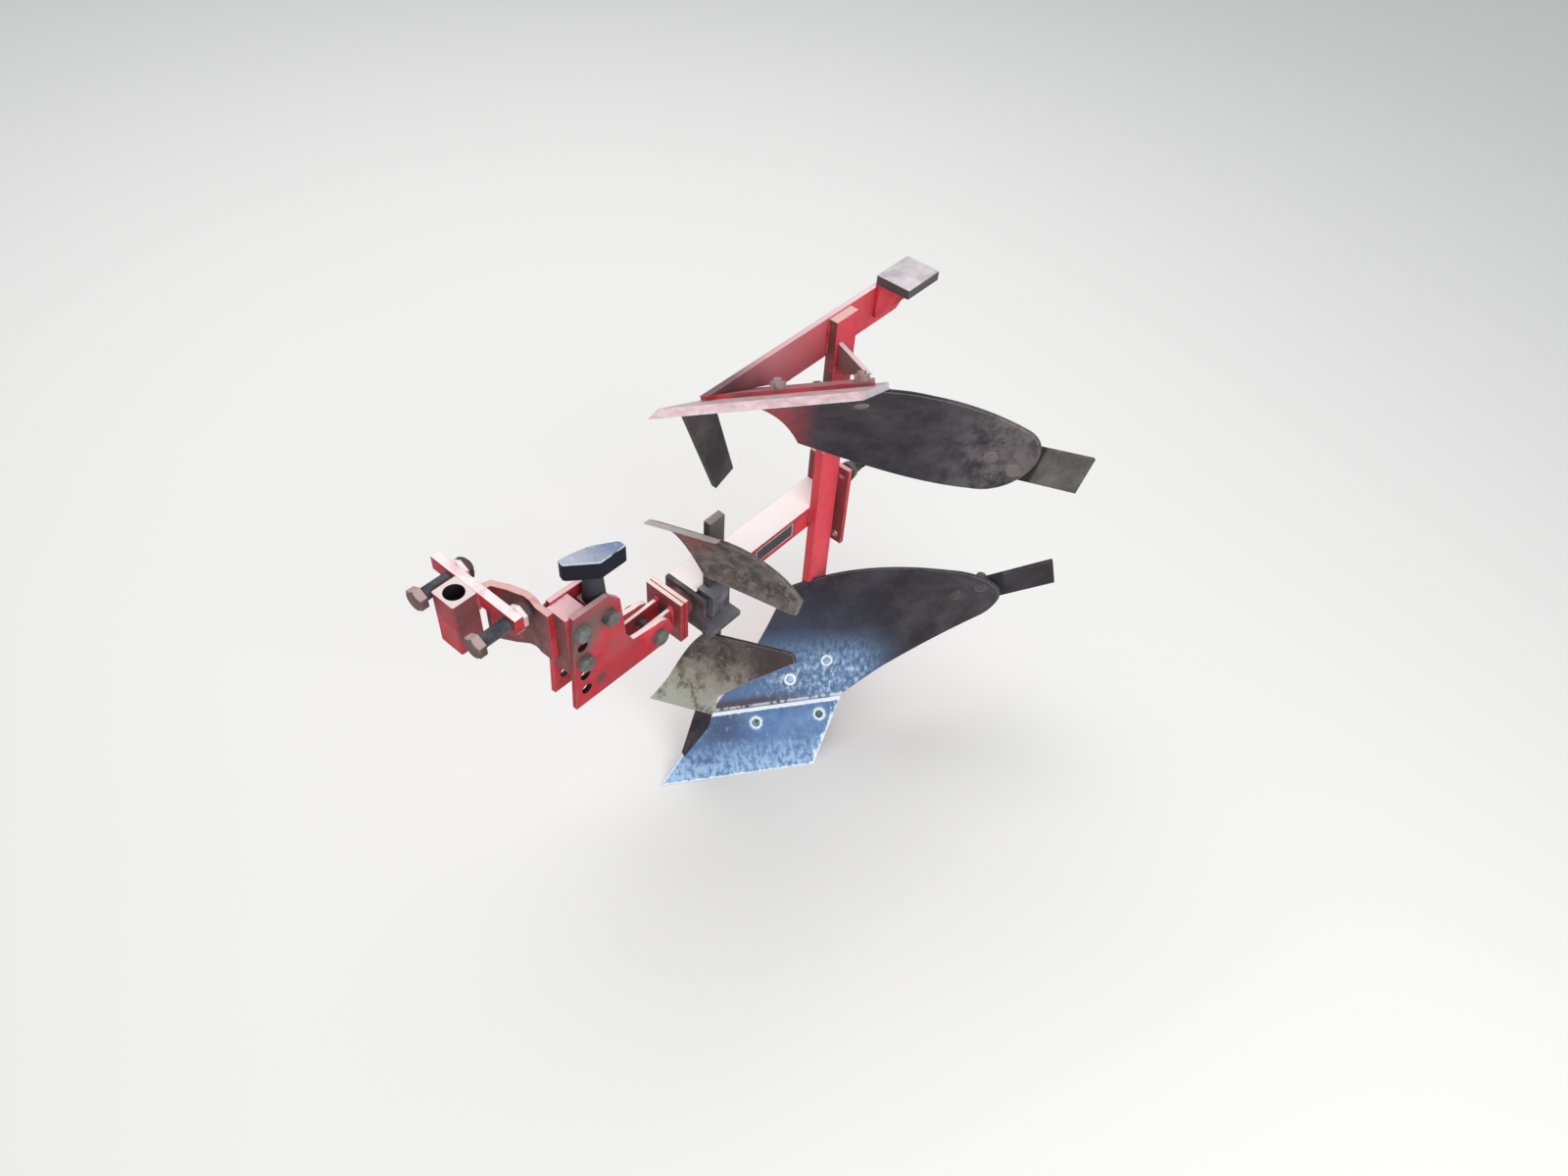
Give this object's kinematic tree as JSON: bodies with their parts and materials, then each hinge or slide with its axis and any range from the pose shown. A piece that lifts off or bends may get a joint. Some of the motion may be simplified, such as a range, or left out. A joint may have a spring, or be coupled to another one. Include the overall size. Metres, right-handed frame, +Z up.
{
  "type": "reversible tiller plough",
  "caption": "Reversible single-furrow plough for a two-wheel tractor: mirrored plough bodies with skimmers on a turning beam, a pin-type hitch socket in front and a winged screw for the working depth.",
  "frame": {"origin": "on the axis of the vertical hitch bore, level with the upper face of the hitch socket", "axes": "+X points forward in the direction of travel, +Y to the left, the side to which the lower body turns the soil, and +Z up"},
  "size_m": [0.8984, 0.5448, 0.8],
  "materials": {
    "red_paint": "satin red paint, faded to pink and chipped on upper faces",
    "black_paint": "black paint, dusty",
    "black_knob": "black moulded knob, slightly glossy",
    "bright_steel": "soil-scoured bright steel",
    "body_steel": "dark grey-brown patina on rolled steel, worn bright at the share",
    "skimmer_steel": "brown-grey rusted steel",
    "shoe_steel": "dull worn steel",
    "fastener_steel": "weathered zinc"
  },
  "bodies": {
    "headstock": {"hitch_socket": "red_paint", "hitch_crossbar": "red_paint", "hitch_nuts": "red_paint", "hitch_screws": "fastener_steel", "offset_plate": "red_paint", "height_block": "red_paint", "side_plate_left": "red_paint", "side_plate_right": "red_paint", "height_bolts": "fastener_steel", "pivot_bolt": "fastener_steel", "swivel_block": "red_paint", "swivel_screws": "fastener_steel", "depth_screw": "fastener_steel", "depth_knob": "black_knob"},
    "yoke": {"yoke_arms": "red_paint", "yoke_cross_block": "red_paint", "yoke_flange": "red_paint", "spindle": "fastener_steel", "spindle_washer": "fastener_steel", "latch_arm": "red_paint", "latch_pin": "fastener_steel", "spindle_nut": "fastener_steel"},
    "turning_body": {"beam_flange": "red_paint", "beam_neck": "red_paint", "beam_collar": "black_paint", "beam": "red_paint", "beam_rear_plate": "red_paint", "leg": "red_paint", "landside_upper": "red_paint", "landside_lower": "red_paint", "frog_upper": "red_paint", "frog_lower": "red_paint", "brace_upper": "red_paint", "brace_lower": "red_paint", "heel_shoe_upper": "shoe_steel", "heel_shoe_lower": "shoe_steel", "knife_upper": "body_steel", "knife_lower": "body_steel", "share_upper": "bright_steel", "share_lower": "bright_steel", "mouldboard_upper": "body_steel", "mouldboard_lower": "body_steel", "tail_extension_upper": "body_steel", "tail_extension_lower": "body_steel", "plough_bolts_upper": "fastener_steel", "plough_bolts_lower": "fastener_steel", "skimmer_bar": "skimmer_steel", "skimmer_clamp": "black_paint", "skimmer_upper": "skimmer_steel", "skimmer_lower": "skimmer_steel"}
  },
  "joints": [
    {"name": "depth_tilt", "type": "hinge", "parent": "headstock", "child": "yoke", "pos_m": [-0.223, 0.122, -0.158], "axis": [0, 1, 0], "range_deg": [-5, 5]},
    {"name": "turnover", "type": "hinge", "parent": "yoke", "child": "turning_body", "pos_m": [-0.302, 0.122, -0.158], "axis": [1, 0, 0], "range_deg": [0, 180]}
  ]
}
